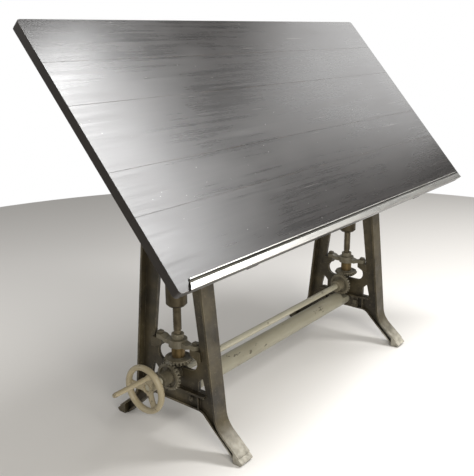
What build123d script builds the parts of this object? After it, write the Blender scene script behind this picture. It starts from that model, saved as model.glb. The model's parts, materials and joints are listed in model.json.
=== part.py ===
from build123d import *

import os
from math import atan2, cos, pi, radians, sin, sqrt, tan

# Crank-lifted drafting table: two cast end frames, a pipe stretcher, twin lift screws driven
# by one shaft through mitre gears, and a tilting board.  Millimetres, +Z up, floor at Z = 0.
# X runs along the table (handwheel end is -X), -Y is the front, where the board's low edge is.
# Pieces are drawn about the plane of the lift screws (Y = 0) and moved back by frame_y when
# they are written, so that the origin is below the middle of the whole table.

# ---------------------------------------------------------------- overall sizes
frame_y = 41.5  # screw plane, behind the origin
half_span = 557.0  # middle of the table to the middle of an end frame
pivot_z = 954.5  # tilt axis above the floor, as set now
tilt_deg = 48.7  # board's slope, as set now
board_length = 1829.0
board_low = 421.0  # tilt axis to the low edge, along the slope
board_high = 469.0  # tilt axis to the high edge
board_t = 31.0

# ---------------------------------------------------------------- lift
lift_down = 75.0  # travel left below this setting
lift_up = 165.0  # travel left above it
screw_r = 14.0
screw_top_z = 690.0
screw_foot_z = 269.0
running = 0.05  # radial clearance of a running fit
end_play = 0.3  # gap between faces that turn or slide past each other
tube_r = 35.5
tube_bore_r = 27.5
tube_foot_z = 480.0
tube_top_z = pivot_z - 51.5
nut_flange_t = 12.0
nut_chamfer = 8.0
nut_length = 62.0

# ---------------------------------------------------------------- drive
shaft_z = 240.7
shaft_r = 12.0
teeth = 24
gear_pitch_r = 48.0
gear_module = 2 * gear_pitch_r / teeth
tooth_addendum = 0.9 * gear_module
tooth_dedendum = 1.25 * gear_module
backlash = 0.42  # taken off each flank of a tooth
tooth_half = pi * gear_module / 4 - backlash  # half a tooth's thickness on the pitch circle
tooth_flank_deg = 20.0
face_share = 0.30  # face width over cone distance
gear_back = gear_pitch_r + 9.0  # drive gear's back plane from the crossing of the axes
screw_gear_back = gear_pitch_r + 5.8
screw_gear_hub = 3.5  # its hub stands this far out of its back
gear_hub_r = 24.0
gear_hub_length = 33.0
gear_screw_at = 32.0  # gear screws from the shaft's axis
wheel_out = 160.0  # handwheel's plane outboard of the left frame
wheel_rim_r = 73.5
rim_half_w = 12.0
rim_half_h = 10.0
wheel_hub_r = 20.0
hub_set_in = 5.0  # hub's outer face, inboard of the wheel's plane
hub_length = 38.0
crank_r = 61.0
crank_deg = 118.0  # where the crank stands, from +Y towards +Z
grip_length = 138.0
grip_r = 8.0
grip_pin_r = 4.5

# ---------------------------------------------------------------- end frame
web_t = 12.0
flange_w = 60.0
flange_t = 8.0
frame_top_z = 740.0
shoulder_y = 118.5
ankle_y, ankle_z = 186.7, 106.0
toe_y, toe_z = 291.0, 17.0
heel_y = 250.0
toe_step, toe_step_run = 3.5, 16.0
arch_z = 131.0
arch_corner_y = 112.0
arch_flange_w = 34.0
arch_flange_t = 6.0
rail_z = 190.0  # top of the crossbar
rail_flange_w = 40.0
rail_flange_t = 6.0
window_z = 264.0  # bottom of the space between the legs
ledge_z = 345.0  # seat of the screw bearing
leg_in_low, leg_in_high = 103.0, 62.0  # inner edge of a leg at ledge_z and at head_z
head_z = 650.0
head_top_z = 745.0
head_r = 46.0
shaft_boss_r = 23.0
shaft_boss_w = 30.0
shaft_bush_r = 16.0

# ---------------------------------------------------------------- stretcher
pipe_z = 171.0
pipe_r = 32.0
pipe_bore_r = 27.0
pipe_gap = 76.0  # frame's middle to the pipe's end
neck_clear = 0.5  # shoe's neck below the crossbar's flange and the drive gear
shoe_plate_t = 10.0
shoe_plate_y = 150.0
shoe_bolt_y = 62.0
shoe_bolt_z = 161.0
bolt_r = 5.0
bolt_clear = 0.5

# ---------------------------------------------------------------- screw bearing
bearing_w = 32.0
bearing_bolt_y = 80.0
bearing_end_t = 15.0
bearing_half = 95.0
bearing_seat_y = 66.0
boss_r = 32.0
boss_bottom_z, boss_top_z = 336.0, 362.0
bush_r = 20.0
bush_skirt_r = 23.0
collar_r = 21.5
collar_top_z = 381.0

# ---------------------------------------------------------------- tilt gear under the board
batten_w = 46.0
batten_h = 45.0
batten_end = 4.0  # set back from the board's low edge
batten_top_end = 20.0  # set back from the board's high edge
wood_screw_bite = 24.0
bracket_t = 8.0
bracket_gap = 28.0  # tilt axis to the bracket's plate
bracket_half = 62.0
barrel_r = 20.0
socket_t = 8.0  # wall of the tilt head's socket round the tube
barrel_in = tube_r + socket_t + 0.5  # barrel's ends, inboard and outboard of the tube
barrel_out = tube_r + socket_t + 12.5
ear_t = 8.0
pin_r = 9.0
quadrant_r = 106.0  # radius of the clamp slot
slot_half = 6.5
lock_bolt_r = 6.0
slot_margin_deg = 2.0  # slot beyond the bolt at both ends of the tilt
lever_length = 88.0
tilt_min, tilt_max = 0.0, 65.0

# ---------------------------------------------------------------- board
plank_edges = [0.0, 232.0, 372.0, 590.0, 738.0, board_low + board_high]
board_corner_r = 12.0
strip_w = 30.0
strip_t = 7.0
strip_lip = 1.5
strip_drop = 4.0
strip_left, strip_right = 34.0, 14.0  # short of the board's ends
knob_x = -612.0
knob_in = 34.0  # knob's centre in from the low edge
knob_r = 12.5
knob_drop = 12.0

os.makedirs("parts", exist_ok=True)


def side(x=0.0):
    """Upright plane across the table at x: sketch x is Y, sketch y is Z."""
    return Plane(origin=(x, 0, 0), x_dir=(0, 1, 0), z_dir=(1, 0, 0))


def slope(x=0.0):
    """Plane across the board at x: sketch x runs up the slope, sketch y out of the board."""
    tilt = radians(tilt_deg)
    return Plane(origin=(x, 0, pivot_z), x_dir=(0, cos(tilt), sin(tilt)), z_dir=(1, 0, 0))


def level(z):
    return Plane.XY.offset(z)


def along_x(x, y=0.0, z=0.0):
    """Plane facing +X, for round pieces whose axis is parallel to the shaft."""
    return Plane(origin=(x, y, z), x_dir=(0, 1, 0), z_dir=(1, 0, 0))


def save(part, label, x=0.0):
    """Move a piece to its place along the table, name it and write it."""
    placed = Pos(x, frame_y, 0) * part
    placed.label = label
    export_step(placed, f"parts/{label}.step")


def save_pair(part, label, turn=False):
    """Write a left and a right copy; turn=True mirrors the left one."""
    save(part, f"{label}_right", half_span)
    save(mirror(part, about=Plane.YZ) if turn else part, f"{label}_left", -half_span)


def save_both(part, label, turn=True):
    """Write the right-hand pieces and the left-hand ones together in one file."""
    right = Pos(half_span, 0, 0) * part
    left = mirror(right, about=Plane.YZ) if turn else Pos(-half_span, 0, 0) * part
    save(Compound(right.solids() + left.solids()), label)


def inset(points, distance):
    """The open polyline that runs `distance` to the left of another, with mitred corners."""
    moved = []
    for i, (px, py) in enumerate(points):
        normals = []
        for a, b in ((i - 1, i), (i, i + 1)):
            if a >= 0 and b < len(points):
                dx, dy = points[b][0] - points[a][0], points[b][1] - points[a][1]
                run = sqrt(dx * dx + dy * dy)
                normals.append((-dy / run, dx / run))
        nx = sum(n[0] for n in normals) / len(normals)
        ny = sum(n[1] for n in normals) / len(normals)
        scale = distance / (nx * nx + ny * ny)
        moved.append((px + nx * scale, py + ny * scale))
    return moved


def band(points, radii, thickness):
    """Face of even thickness on the left of a filleted polyline."""
    inner = inset(points, thickness)
    inner_radii = []
    for before, corner, after, radius in zip(points, points[1:], points[2:], radii):
        cross = (corner[0] - before[0]) * (after[1] - corner[1])
        cross -= (corner[1] - before[1]) * (after[0] - corner[0])
        inner_radii.append(radius - thickness if cross > 0 else radius + thickness)
    with BuildSketch() as strip:
        with BuildLine():
            FilletPolyline(*points, radius=radii)
            FilletPolyline(*inner, radius=inner_radii)
            Line(points[0], inner[0])
            Line(points[-1], inner[-1])
        make_face()
    return strip.sketch


# ================================================================ end frame
outer_line = [(0, frame_top_z), (shoulder_y, frame_top_z), (ankle_y, ankle_z), (toe_y, toe_z)]
outer_radii = [60.0, 90.0]
arch_line = [(heel_y, 0), (arch_corner_y, arch_z), (0, arch_z)]
arch_radius = 35.0
outer_flange = band(outer_line[::-1], outer_radii[::-1], flange_t)
arch_flange = band(arch_line[::-1], [arch_radius], arch_flange_t)


def leg_inner_y(z):
    """Inner edge of a leg's web at height z."""
    share = (z - ledge_z) / (head_z - ledge_z)
    return leg_in_low + (leg_in_high - leg_in_low) * share


with BuildPart() as end_frame:
    # Web: the whole silhouette, then the space between the legs and the two windows.
    with BuildSketch(side()):
        with BuildLine():
            FilletPolyline(*outer_line, radius=outer_radii)
            Polyline((toe_y, toe_z), (toe_y, 8), (toe_y - 8, 0), (heel_y, 0))
            FilletPolyline(*arch_line, radius=arch_radius)
            Line((0, arch_z), (0, frame_top_z))
        make_face()
        with BuildLine():
            Line((0, window_z), (58, window_z))
            ThreePointArc((58, window_z), (89, 295), (bearing_seat_y, 324))
            FilletPolyline(
                (bearing_seat_y, 324), (bearing_seat_y, ledge_z),
                (leg_inner_y(ledge_z), ledge_z), (leg_inner_y(head_z), head_z), (0, head_z),
                radius=[0, 0, 34],
            )
            Line((0, head_z), (0, window_z))
        make_face(mode=Mode.SUBTRACT)
        with BuildLine():
            FilletPolyline(
                (92, 194), (92, 230), (112, 250), (126, 194), radius=3, close=True
            )
        make_face(mode=Mode.SUBTRACT)
        mirror(about=Plane.YZ)
    extrude(amount=web_t / 2, both=True)
    # Flange round the outside, from toe to toe over the top.
    with BuildSketch(side()):
        add(outer_flange)
        mirror(about=Plane.YZ)
    extrude(amount=flange_w / 2, both=True)
    # Flange under the arch, and the crossbar's top flange and ribs.
    with BuildSketch(side()):
        add(arch_flange)
        mirror(about=Plane.YZ)
    extrude(amount=arch_flange_w / 2, both=True)
    with BuildSketch(side()):
        with Locations((0, rail_z - rail_flange_t / 2)):
            Rectangle(252, rail_flange_t)
    extrude(amount=rail_flange_w / 2, both=True)
    with BuildSketch(side()):
        with Locations((-97, (arch_z + rail_z) / 2), (97, (arch_z + rail_z) / 2)):
            Rectangle(5, rail_z - arch_z - 4)
    extrude(amount=arch_flange_w / 2, both=True)
    # Toe blocks, full width.
    with BuildSketch(side()):
        with BuildLine():
            Polyline(
                (toe_y, toe_z), (toe_y, 8), (toe_y - 8, 0), (heel_y + 4, 0), (heel_y + 4, 40),
                (264, 40), (toe_y, toe_z),
            )
        make_face()
        mirror(about=Plane.YZ)
    extrude(amount=flange_w / 2 - 1, both=True)
    # Seats for the screw bearing.
    with BuildSketch(side()):
        with BuildLine():
            Polyline(
                (bearing_seat_y, ledge_z), (109, ledge_z), (112, 310), (92, 314),
                (bearing_seat_y, 326), (bearing_seat_y, ledge_z),
            )
        make_face()
        mirror(about=Plane.YZ)
    extrude(amount=bearing_w / 2, both=True)
    # Guide head for the lift tube, and the shaft's boss.
    with BuildSketch(level(head_z - 6)):
        Circle(head_r)
    extrude(amount=head_top_z - head_z + 6)
    with BuildSketch(along_x(-shaft_boss_w / 2, 0, shaft_z)):
        Circle(shaft_boss_r)
    extrude(amount=shaft_boss_w)
    # Bores and bolt holes.
    with BuildSketch(level(head_z - 10)):
        Circle(tube_r + running)
    extrude(amount=head_top_z - head_z + 20, mode=Mode.SUBTRACT)
    with BuildSketch(along_x(-shaft_boss_w / 2 - 1, 0, shaft_z)):
        Circle(shaft_bush_r)
    extrude(amount=shaft_boss_w + 2, mode=Mode.SUBTRACT)
    with BuildSketch(along_x(-web_t)):
        with Locations((-shoe_bolt_y, shoe_bolt_z), (shoe_bolt_y, shoe_bolt_z)):
            Circle(bolt_r + bolt_clear)
    extrude(amount=2 * web_t, mode=Mode.SUBTRACT)
    with BuildSketch(level(ledge_z - 60)):
        with Locations((0, -bearing_bolt_y), (0, bearing_bolt_y)):
            Circle(bolt_r + bolt_clear)
    extrude(amount=61, mode=Mode.SUBTRACT)
    # Each toe ends in a low step across its full width.
    toe_run = atan2(ankle_z - toe_z, toe_y - ankle_y)
    for sign in (-1, 1):
        ramp = Plane(
            origin=(0, sign * toe_y, toe_z),
            x_dir=(1, 0, 0),
            z_dir=(0, sign * sin(toe_run), cos(toe_run)),
        )
        with BuildSketch(ramp.offset(-toe_step)):
            with Locations((0, -sign * (toe_step_run - 6) / 2)):
                Rectangle(flange_w + 2, toe_step_run + 6)
        extrude(amount=10, mode=Mode.SUBTRACT)
save_pair(end_frame.part, "end_frame")

with BuildPart() as shaft_bush:
    with BuildSketch(along_x(-shaft_boss_w / 2, 0, shaft_z)):
        Circle(shaft_bush_r)
        Circle(shaft_r + running, mode=Mode.SUBTRACT)
    extrude(amount=shaft_boss_w)
save_pair(shaft_bush.part, "shaft_bush")

# ================================================================ stretcher
with BuildPart() as stretcher_pipe:
    with BuildSketch(along_x(-(half_span - pipe_gap), 0, pipe_z)):
        Circle(pipe_r)
        Circle(pipe_bore_r, mode=Mode.SUBTRACT)
    extrude(amount=2 * (half_span - pipe_gap))
save(stretcher_pipe.part, "stretcher_pipe")

gear_low_z = shaft_z - gear_pitch_r - tooth_addendum
neck_top_z = min(rail_z - rail_flange_t, gear_low_z) - neck_clear
with BuildPart() as stretcher_shoe:
    plate_x = -web_t / 2 - shoe_plate_t
    with BuildSketch(along_x(plate_x)):
        with Locations((0, (arch_z + rail_z) / 2)):
            RectangleRounded(shoe_plate_y, rail_z - arch_z - 2 * arch_flange_t - 1, 6)
    extrude(amount=shoe_plate_t)
    # The neck carries on the pipe's line, cut flat on top where the drive gear turns.
    with BuildSketch(along_x(-pipe_gap, 0, pipe_z)):
        Circle(pipe_r)
        with Locations((0, neck_top_z - pipe_z + pipe_r)):
            Rectangle(2 * pipe_r, 2 * pipe_r, mode=Mode.SUBTRACT)
    extrude(amount=pipe_gap + plate_x + 1)
    with BuildSketch(along_x(-pipe_gap, 0, pipe_z)):
        Circle(pipe_r)
    extrude(amount=7)
    with BuildSketch(along_x(-pipe_gap - 44, 0, pipe_z)):
        Circle(pipe_bore_r)
    extrude(amount=45)
    with BuildSketch(along_x(plate_x - 1)):
        with Locations((-shoe_bolt_y, shoe_bolt_z), (shoe_bolt_y, shoe_bolt_z)):
            Circle(bolt_r + bolt_clear)
    extrude(amount=shoe_plate_t + 2, mode=Mode.SUBTRACT)
save_pair(stretcher_shoe.part, "stretcher_shoe", turn=True)

with BuildPart() as shoe_bolts:
    # Square heads inboard on the shoe, hexagon nuts outboard on the web.
    head_x = -web_t / 2 - shoe_plate_t
    with BuildSketch(along_x(head_x - 9)):
        with Locations((-shoe_bolt_y, shoe_bolt_z), (shoe_bolt_y, shoe_bolt_z)):
            Rectangle(17, 17)
    extrude(amount=9)
    with BuildSketch(along_x(head_x)):
        with Locations((-shoe_bolt_y, shoe_bolt_z), (shoe_bolt_y, shoe_bolt_z)):
            Circle(bolt_r)
    extrude(amount=shoe_plate_t + web_t + 12)
    with BuildSketch(along_x(web_t / 2)):
        with Locations((-shoe_bolt_y, shoe_bolt_z), (shoe_bolt_y, shoe_bolt_z)):
            RegularPolygon(9.5, 6)
    extrude(amount=8)
save_both(shoe_bolts.part, "shoe_bolts")

# ================================================================ screw bearing
with BuildPart() as screw_bearing:
    with BuildSketch(side()):
        with BuildLine():
            Spline(
                (0, boss_top_z - 3), (30, boss_top_z - 6), (50, boss_top_z - 10),
                (bearing_seat_y + 3, ledge_z + bearing_end_t), tangents=[(1, 0), (1, 0.1)],
            )
            Polyline(
                (bearing_seat_y + 3, ledge_z + bearing_end_t),
                (bearing_half, ledge_z + bearing_end_t), (bearing_half, ledge_z),
                (bearing_seat_y, ledge_z), (46, boss_bottom_z + 2), (0, boss_bottom_z + 2),
                (0, boss_top_z - 3),
            )
        make_face()
        mirror(about=Plane.YZ)
    extrude(amount=bearing_w / 2, both=True)
    lug_ends = screw_bearing.edges().filter_by(Axis.Z).group_by(Axis.Y)
    fillet(lug_ends[0] + lug_ends[-1], bearing_w / 2 - 2)
    with BuildSketch(level(boss_bottom_z)):
        Circle(boss_r)
    extrude(amount=boss_top_z - boss_bottom_z)
    with BuildSketch(level(boss_bottom_z - 1)):
        Circle(bush_r)
    extrude(amount=boss_top_z - boss_bottom_z + 2, mode=Mode.SUBTRACT)
    with BuildSketch(level(ledge_z - 1)):
        with Locations((0, -bearing_bolt_y), (0, bearing_bolt_y)):
            Circle(bolt_r + bolt_clear)
    extrude(amount=bearing_end_t + 2, mode=Mode.SUBTRACT)
save_pair(screw_bearing.part, "screw_bearing")

with BuildPart() as bearing_bolts:
    seat = ledge_z + bearing_end_t
    with BuildSketch(level(seat)):
        with Locations((0, -bearing_bolt_y), (0, bearing_bolt_y)):
            Rectangle(17, 17)
    extrude(amount=9)
    with BuildSketch(level(ledge_z - 25)):
        with Locations((0, -bearing_bolt_y), (0, bearing_bolt_y)):
            Circle(bolt_r)
    extrude(amount=bearing_end_t + 25)
save_both(bearing_bolts.part, "bearing_bolts")

gear_top_z = shaft_z + screw_gear_back + screw_gear_hub
with BuildPart() as screw_bush:
    with BuildSketch(level(gear_top_z + end_play)):
        Circle(bush_skirt_r)
    extrude(amount=boss_bottom_z - gear_top_z - end_play)
    with BuildSketch(level(boss_bottom_z)):
        Circle(bush_r)
    extrude(amount=boss_top_z - boss_bottom_z)
    with BuildSketch(level(gear_top_z)):
        Circle(screw_r + running)
    extrude(amount=boss_top_z - gear_top_z + 1, mode=Mode.SUBTRACT)
save_pair(screw_bush.part, "screw_bush")

# ================================================================ lift screws
with BuildPart() as lift_screw:
    with BuildSketch(level(screw_foot_z)):
        Circle(screw_r)
    extrude(amount=screw_top_z - screw_foot_z)
    chamfer(lift_screw.edges().group_by(Axis.Z)[-1], 3)
save_pair(lift_screw.part, "lift_screw")

with BuildPart() as thrust_collar:
    with BuildSketch(level(boss_top_z + end_play)):
        Circle(collar_r)
        Circle(screw_r, mode=Mode.SUBTRACT)
    extrude(amount=collar_top_z - boss_top_z - end_play)
    chamfer(thrust_collar.edges().group_by(Axis.Z)[-1].sort_by(SortBy.LENGTH)[-1], 1.5)
    # Drilled for the taper pin.
    with BuildSketch(along_x(-collar_r - 1, 0, boss_top_z + 15)):
        Circle(2.5)
    extrude(amount=2 * collar_r + 2, mode=Mode.SUBTRACT)
save_pair(thrust_collar.part, "thrust_collar")

with BuildPart() as collar_pin:
    # The two ends of the pin that holds the collar; its middle is in the screw.
    for start in (-collar_r - 2, screw_r):
        with BuildSketch(along_x(start, 0, boss_top_z + 15)):
            Circle(2.5)
        extrude(amount=collar_r - screw_r + 2)
save_pair(collar_pin.part, "collar_pin")

# ================================================================ mitre gears
# Drawn with the axis on Z and the crossing point of the two axes at the origin, so the pitch
# cone is the 45 degree cone through (gear_pitch_r, gear_pitch_r).
small = 1 - face_share  # size of a tooth's inner end against its outer end
flank = tan(radians(tooth_flank_deg))


def tooth_outline():
    """Four corners of a tooth at its outer end: across the tooth, out from the pitch cone."""
    root = tooth_half + (tooth_dedendum + 1.0) * flank
    tip = tooth_half - tooth_addendum * flank
    return [(-root, -tooth_dedendum - 1.0), (root, -tooth_dedendum - 1.0),
            (tip, tooth_addendum), (-tip, tooth_addendum)]


def tooth_plane(share):
    """Plane square to the pitch cone's side, at a share of the cone distance."""
    at = gear_pitch_r * share
    # Its x is across the tooth, its y points into the pitch cone.
    return Plane(origin=(at, 0, at), x_dir=(0, 1, 0), z_dir=(1, 0, 1))


with BuildPart() as tooth:
    for share in (1.0, small):
        with BuildSketch(tooth_plane(share)):
            with BuildLine():
                corners = [(x * share, -y * share) for x, y in tooth_outline()]
                Polyline(*corners, close=True)
            make_face()
    loft()

root_r = gear_pitch_r - tooth_dedendum / sqrt(2)
root_z = gear_pitch_r + tooth_dedendum / sqrt(2)
past_in, past_out = 0.93 * small, 1.022  # the root cone runs past both ends of the teeth
half_pitch_deg = 180.0 / teeth


def mitre_gear(bore_r, back, hub_r, hub_end, recess):
    """Gear blank with its teeth; recess is the depth of the hollow in its back."""
    with BuildPart() as gear:
        with BuildSketch(Plane.XZ):
            with BuildLine():
                Polyline(
                    (bore_r, root_z * small - 4.5), (root_r * small - 4, root_z * small - 4.5),
                    (root_r * past_in, root_z * past_in), (root_r * past_out, root_z * past_out),
                    (root_r * past_out, back), (root_r - 7, back), (root_r - 7, back - recess),
                    (hub_r, back - recess), (hub_r, hub_end), (bore_r, hub_end),
                    close=True,
                )
            make_face()
        revolve(axis=Axis.Z)
        # A gap, not a tooth, stands where the blank's surface closes on itself.
        with PolarLocations(0, teeth, start_angle=half_pitch_deg):
            add(tooth.part)
    return gear.part


screw_gear = mitre_gear(screw_r, screw_gear_back, screw_r + 7, gear_top_z - shaft_z, 2.0)
save_pair(Pos(0, 0, shaft_z) * screw_gear, "screw_gear")

# The drive gear is turned by half a tooth, so that its teeth meet the screw gear's gaps.
drive_gear = mitre_gear(shaft_r, gear_back, gear_hub_r, gear_back + gear_hub_length, 7.0)
with BuildPart() as gear_screw_holes:
    # Two holes through the gear's back, one above and one below the hub.
    with BuildSketch(Plane.XY.offset(gear_back - 12)):
        with PolarLocations(gear_screw_at, 2):
            Circle(3.0)
    extrude(amount=20)
drive_gear = drive_gear - gear_screw_holes.part
to_shaft = Pos(0, 0, shaft_z) * Rot(0, -90, 0) * Rot(0, 0, half_pitch_deg)
save_pair(to_shaft * drive_gear, "drive_gear")

with BuildPart() as gear_screws:
    with BuildSketch(Plane.XY.offset(gear_back - 12)):
        with PolarLocations(gear_screw_at, 2):
            Circle(3.0)
    extrude(amount=5)
    with BuildSketch(Plane.XY.offset(gear_back - 7)):
        with PolarLocations(gear_screw_at, 2):
            Circle(5.0)
    extrude(amount=4)
save_both(to_shaft * gear_screws.part, "gear_screws", turn=False)

# ================================================================ shaft and handwheel
shaft_left = -half_span - wheel_out + hub_set_in + 6
shaft_right = half_span + shaft_boss_w / 2 + 4
with BuildPart() as drive_shaft:
    with BuildSketch(along_x(shaft_left, 0, shaft_z)):
        Circle(shaft_r)
    extrude(amount=shaft_right - shaft_left)
    chamfer(drive_shaft.edges().filter_by(GeomType.CIRCLE), 1.5)
save(drive_shaft.part, "drive_shaft")

with BuildPart() as shaft_collars:
    # One each side of the left frame's boss.
    boss_face = shaft_boss_w / 2 + end_play
    for start in (-half_span - boss_face - 12, -half_span + boss_face):
        with BuildSketch(along_x(start, 0, shaft_z)):
            Circle(19)
            Circle(shaft_r, mode=Mode.SUBTRACT)
        extrude(amount=12)
save(shaft_collars.part, "shaft_collars")

wheel_x = -half_span - wheel_out
crank = radians(crank_deg)
crank_y = crank_r * cos(crank)
crank_z = shaft_z + crank_r * sin(crank)
with BuildPart() as handwheel:
    with BuildSketch(Plane.XZ):
        with Locations((wheel_x, shaft_z + wheel_rim_r)):
            Ellipse(rim_half_w, rim_half_h)
    revolve(axis=Axis((wheel_x, 0, shaft_z), (1, 0, 0)))
    with BuildSketch(along_x(wheel_x + hub_set_in, 0, shaft_z)):
        Circle(wheel_hub_r)
    extrude(amount=hub_length)
    # Flat spokes, one of them to the crank.
    for i in range(3):
        turn = crank + i * 2 * pi / 3
        spoke = Plane(
            origin=(wheel_x, 0, shaft_z), x_dir=(0, cos(turn), sin(turn)), z_dir=(1, 0, 0)
        )
        with BuildSketch(spoke.offset(-1)):
            with BuildLine():
                Polyline(
                    (10, -16), (wheel_rim_r, -13), (wheel_rim_r, 13), (10, 16), close=True
                )
            make_face()
        extrude(amount=11)
    with BuildSketch(along_x(wheel_x - 13, crank_y, crank_z)):
        Circle(10)
    extrude(amount=26)
    with BuildSketch(along_x(wheel_x - 15, 0, shaft_z)):
        Circle(shaft_r)
    extrude(amount=hub_set_in + hub_length + 16, mode=Mode.SUBTRACT)
    with BuildSketch(along_x(wheel_x - 14, crank_y, crank_z)):
        Circle(grip_pin_r)
    extrude(amount=28, mode=Mode.SUBTRACT)
save(handwheel.part, "handwheel")

grip_start = wheel_x - 13 - end_play
with BuildPart() as crank_grip:
    with BuildSketch(Plane.XZ.offset(-crank_y)):
        with BuildLine():
            FilletPolyline(
                (grip_start, crank_z + grip_r + 1), (grip_start - 8, crank_z + grip_r - 0.5),
                (grip_start - grip_length, crank_z + grip_r), radius=5,
            )
            Polyline(
                (grip_start - grip_length, crank_z + grip_r),
                (grip_start - grip_length, crank_z + grip_pin_r + running),
                (grip_start, crank_z + grip_pin_r + running),
                (grip_start, crank_z + grip_r + 1),
            )
        make_face()
    revolve(axis=Axis((grip_start, crank_y, crank_z), (1, 0, 0)))
save(crank_grip.part, "crank_grip")

with BuildPart() as grip_pin:
    pin_end = grip_start - grip_length - end_play
    with BuildSketch(along_x(pin_end - 3, crank_y, crank_z)):
        Circle(grip_r - 1.5)
    extrude(amount=3)
    with BuildSketch(along_x(pin_end, crank_y, crank_z)):
        Circle(grip_pin_r)
    extrude(amount=wheel_x + 13 - pin_end)
save(grip_pin.part, "grip_pin")

# ================================================================ lift tubes
with BuildPart() as lift_tube:
    with BuildSketch(level(tube_foot_z + nut_flange_t)):
        Circle(tube_r)
        Circle(tube_bore_r, mode=Mode.SUBTRACT)
    extrude(amount=tube_top_z - tube_foot_z - nut_flange_t)
save_pair(lift_tube.part, "lift_tube")

with BuildPart() as lift_nut:
    with BuildSketch(level(tube_foot_z)):
        Circle(tube_r)
    extrude(amount=nut_flange_t)
    chamfer(lift_nut.edges().group_by(Axis.Z)[0], nut_chamfer)
    with BuildSketch(level(tube_foot_z + nut_flange_t)):
        Circle(tube_bore_r)
    extrude(amount=nut_length - nut_flange_t)
    with BuildSketch(level(tube_foot_z - 1)):
        Circle(screw_r + running)
    extrude(amount=nut_length + 2, mode=Mode.SUBTRACT)
save_pair(lift_nut.part, "lift_nut")

# The tilt head is drawn for the right-hand frame; the left one is its mirror image.
socket_z = tube_top_z - 46
arm_in = barrel_out - 10
lock_z = pivot_z - quadrant_r
with BuildPart() as tilt_head:
    with BuildSketch(level(socket_z)):
        Circle(tube_r + socket_t)
    extrude(amount=tube_top_z + 12 - socket_z)
    with BuildSketch(side(-26)):
        with BuildLine():
            Polyline(
                (-30, tube_top_z + 6), (30, tube_top_z + 6), (barrel_r - 1, pivot_z),
                (-barrel_r + 1, pivot_z), close=True,
            )
        make_face()
    extrude(amount=barrel_out + 26)
    with BuildSketch(along_x(-barrel_in, 0, pivot_z)):
        Circle(barrel_r)
    extrude(amount=barrel_in + barrel_out)
    # Arm down to the clamp bolt, outboard of the socket.
    with BuildSketch(side(arm_in)):
        with BuildLine():
            Polyline(
                (-barrel_r + 2, pivot_z), (barrel_r - 2, pivot_z), (15, lock_z), (-15, lock_z),
                close=True,
            )
        make_face()
        with Locations((0, lock_z)):
            Circle(17)
    extrude(amount=10)
    with BuildSketch(level(socket_z - 1)):
        Circle(tube_r)
    extrude(amount=tube_top_z - socket_z + 1, mode=Mode.SUBTRACT)
    with BuildSketch(along_x(-barrel_in - 1, 0, pivot_z)):
        Circle(pin_r + running)
    extrude(amount=barrel_in + barrel_out + 2, mode=Mode.SUBTRACT)
    with BuildSketch(along_x(arm_in - 1, 0, lock_z)):
        Circle(lock_bolt_r)
    extrude(amount=12, mode=Mode.SUBTRACT)
    # Drilled front and back for the set screws that hold it on the tube.
    with BuildSketch(Plane.XZ.offset(-60)):
        with Locations((0, socket_z + 20)):
            Circle(bolt_r)
    extrude(amount=120, mode=Mode.SUBTRACT)
save_pair(tilt_head.part, "tilt_head", turn=True)

with BuildPart() as head_screws:
    # Set screws front and back, from the socket's face to the tube.
    for sign in (-1, 1):
        with BuildSketch(Plane.XZ.offset(-sign * tube_r)):
            with Locations((0, socket_z + 20)):
                Circle(bolt_r)
        extrude(amount=-sign * socket_t)
        with BuildSketch(Plane.XZ.offset(-sign * (tube_r + socket_t))):
            with Locations((0, socket_z + 20)):
                Rectangle(13, 13)
        extrude(amount=-sign * 8)
save_both(head_screws.part, "head_screws")

with BuildPart() as tilt_pin:
    pin_in = -barrel_in - end_play - ear_t
    pin_out = barrel_out + end_play + ear_t
    with BuildSketch(along_x(pin_in - 7, 0, pivot_z)):
        RegularPolygon(14, 6)
    extrude(amount=7)
    with BuildSketch(along_x(pin_in, 0, pivot_z)):
        Circle(pin_r)
    extrude(amount=pin_out - pin_in)
    with BuildSketch(along_x(pin_out, 0, pivot_z)):
        RegularPolygon(14, 6)
    extrude(amount=7)
save_pair(tilt_pin.part, "tilt_pin", turn=True)

# ================================================================ tilt brackets
# One casting under each batten: plate, inner ear, and outer ear with the slotted quadrant.
ear_in = -barrel_in - end_play - ear_t
ear_out = barrel_out + end_play
slot_start = 270 - tilt_max - slot_margin_deg
slot_sweep = tilt_max - tilt_min + 2 * slot_margin_deg
screw_u, screw_x = 2 * (bracket_half - 14), 26.0  # spacing of the wood screws


def board_face(out):
    """Plane parallel to the board, `out` from the tilt axis, facing out of the board."""
    return Plane(slope().location * Pos(0, out, 0) * Rot(-90, 0, 0))


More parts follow.
